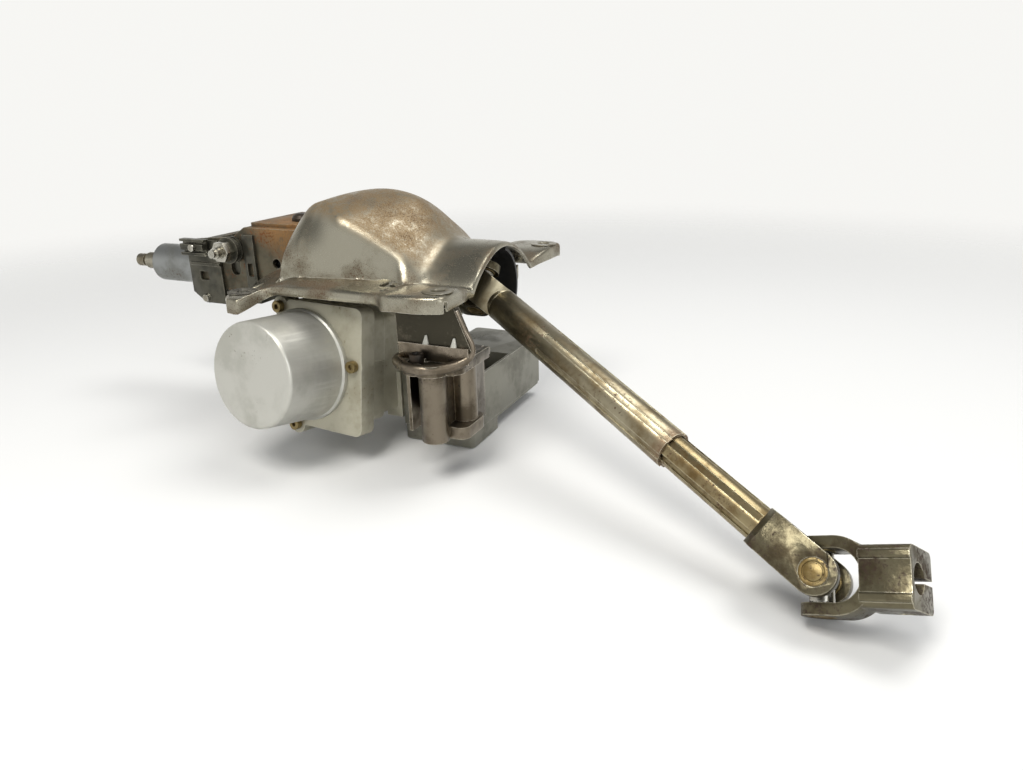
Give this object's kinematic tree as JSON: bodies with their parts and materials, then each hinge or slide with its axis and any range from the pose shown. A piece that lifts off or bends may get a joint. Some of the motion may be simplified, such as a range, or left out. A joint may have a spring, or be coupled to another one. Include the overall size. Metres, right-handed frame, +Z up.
{
  "type": "steering column",
  "caption": "Tilting steering column with pressed mounting bracket, electric assist motor, control unit and telescopic lower shaft between universal joints.",
  "frame": {"origin": "midway between the two front bolt holes, on the plane of their bolt faces", "axes": "+X along the column towards the lower shaft, +Y to the far side, +Z up out of the bolt faces"},
  "size_m": [0.7647, 0.3358, 0.2167],
  "materials": {
    "zinc_sheet": "zinc plated pressed sheet with rust specks",
    "rusty_sheet": "pressed sheet with surface rust",
    "grey_plate": "dark grey coated steel",
    "bright_steel": "bright zinc plated steel",
    "cast_alloy": "as-cast aluminium alloy",
    "shiny_alloy": "die-cast aluminium alloy",
    "can_metal": "satin drawn metal",
    "unit_grey": "grey die-cast case",
    "oiled_steel": "steel with yellow passivation and oil stains",
    "forged_steel": "forged steel, dark and worn",
    "brassy": "yellow zinc plate",
    "black_plastic": "black plastic",
    "black_steel": "black oxide",
    "nylon": "natural nylon",
    "copper": "copper windings",
    "board": "circuit board"
  },
  "bodies": {
    "bracket": {"mounting_bracket": "zinc_sheet", "mount_bushes": "zinc_sheet", "guide_channel": "rusty_sheet", "top_plate": "rusty_sheet", "plate_screws": "black_steel", "guide_plates": "grey_plate", "pivot_lugs": "zinc_sheet", "pivot_bolts": "bright_steel"},
    "column": {"jacket_tube": "can_metal", "clamp_saddle": "grey_plate", "clamp_bolt": "bright_steel", "clamp_nut": "bright_steel", "clamp_washers": "grey_plate", "upper_bearing": "bright_steel", "gear_housing": "cast_alloy", "housing_cover": "cast_alloy", "cover_screws": "bright_steel", "shaft_bearings": "bright_steel", "torque_sensor": "black_plastic", "motor_flange": "cast_alloy", "motor_can": "can_metal", "motor_stator": "copper", "motor_screws": "brassy", "worm_bearings": "bright_steel", "ecu_case": "unit_grey", "ecu_cover": "unit_grey", "ecu_board": "board", "connector_pins": "brassy", "side_support": "shiny_alloy", "support_screw": "black_steel", "support_clips": "nylon", "far_support": "shiny_alloy", "joint_guard": "black_plastic"},
    "steering_shaft": {"wheel_shaft": "can_metal", "torsion_bar": "bright_steel", "worm_wheel": "nylon", "output_yoke": "forged_steel", "output_cups": "brassy"},
    "worm": {"worm_shaft": "bright_steel", "motor_rotor": "grey_plate"},
    "upper_cross": {"upper_cross": "bright_steel"},
    "outer_shaft": {"outer_tube": "oiled_steel", "tube_fork": "forged_steel", "tube_cups": "brassy"},
    "inner_shaft": {"inner_shaft": "oiled_steel", "shaft_fork": "forged_steel", "shaft_cups": "brassy"},
    "lower_cross": {"lower_cross": "bright_steel"},
    "lower_yoke": {"clamp_yoke": "forged_steel", "clamp_cups": "brassy"},
    "clamp_lever": {"clamp_lever": "grey_plate"}
  },
  "joints": [
    {"name": "rake_tilt", "type": "hinge", "parent": "bracket", "child": "column", "pos_m": [-0.016, 0, -0.022], "axis": [0, -1, 0], "range_deg": [0, 4.5]},
    {"name": "steer", "type": "hinge", "parent": "column", "child": "steering_shaft", "pos_m": [-0.016, 0, -0.022], "axis": [1, 0, 0], "continuous": true},
    {"name": "worm_spin", "type": "hinge", "parent": "column", "child": "worm", "pos_m": [-0.132, 0, -0.0906], "axis": [0.1001, 0.9857, -0.1357], "continuous": true},
    {"name": "upper_yoke_swing", "type": "hinge", "parent": "steering_shaft", "child": "upper_cross", "pos_m": [-0.016, 0, -0.022], "axis": [0, 0.6129, 0.7902], "range_deg": [0, 25.8]},
    {"name": "upper_shaft_swing", "type": "hinge", "parent": "upper_cross", "child": "outer_shaft", "pos_m": [-0.016, 0, -0.022], "axis": [0.2233, 0.7702, -0.5974], "range_deg": [-63.8, 0]},
    {"name": "telescope", "type": "slide", "parent": "outer_shaft", "child": "inner_shaft", "axis": [0.8275, -0.4736, -0.3014], "range_m": [-0.04, 0.03]},
    {"name": "lower_cross_swing", "type": "hinge", "parent": "inner_shaft", "child": "lower_cross", "pos_m": [0.28299, -0.17113, -0.13089], "axis": [0.2233, 0.7702, -0.5974], "range_deg": [0, 80]},
    {"name": "lower_yoke_swing", "type": "hinge", "parent": "lower_cross", "child": "lower_yoke", "pos_m": [0.28299, -0.17113, -0.13089], "axis": [-0.1474, 0.6325, 0.7604], "range_deg": [-19, 40]},
    {"name": "lever_swing", "type": "hinge", "parent": "column", "child": "clamp_lever", "pos_m": [-0.245, 0.05, 0.007], "axis": [0, -1, 0], "range_deg": [0, 90]}
  ],
  "couplings": [
    {"joint": "worm_spin", "follows": "steer", "ratio": 20.5}
  ]
}
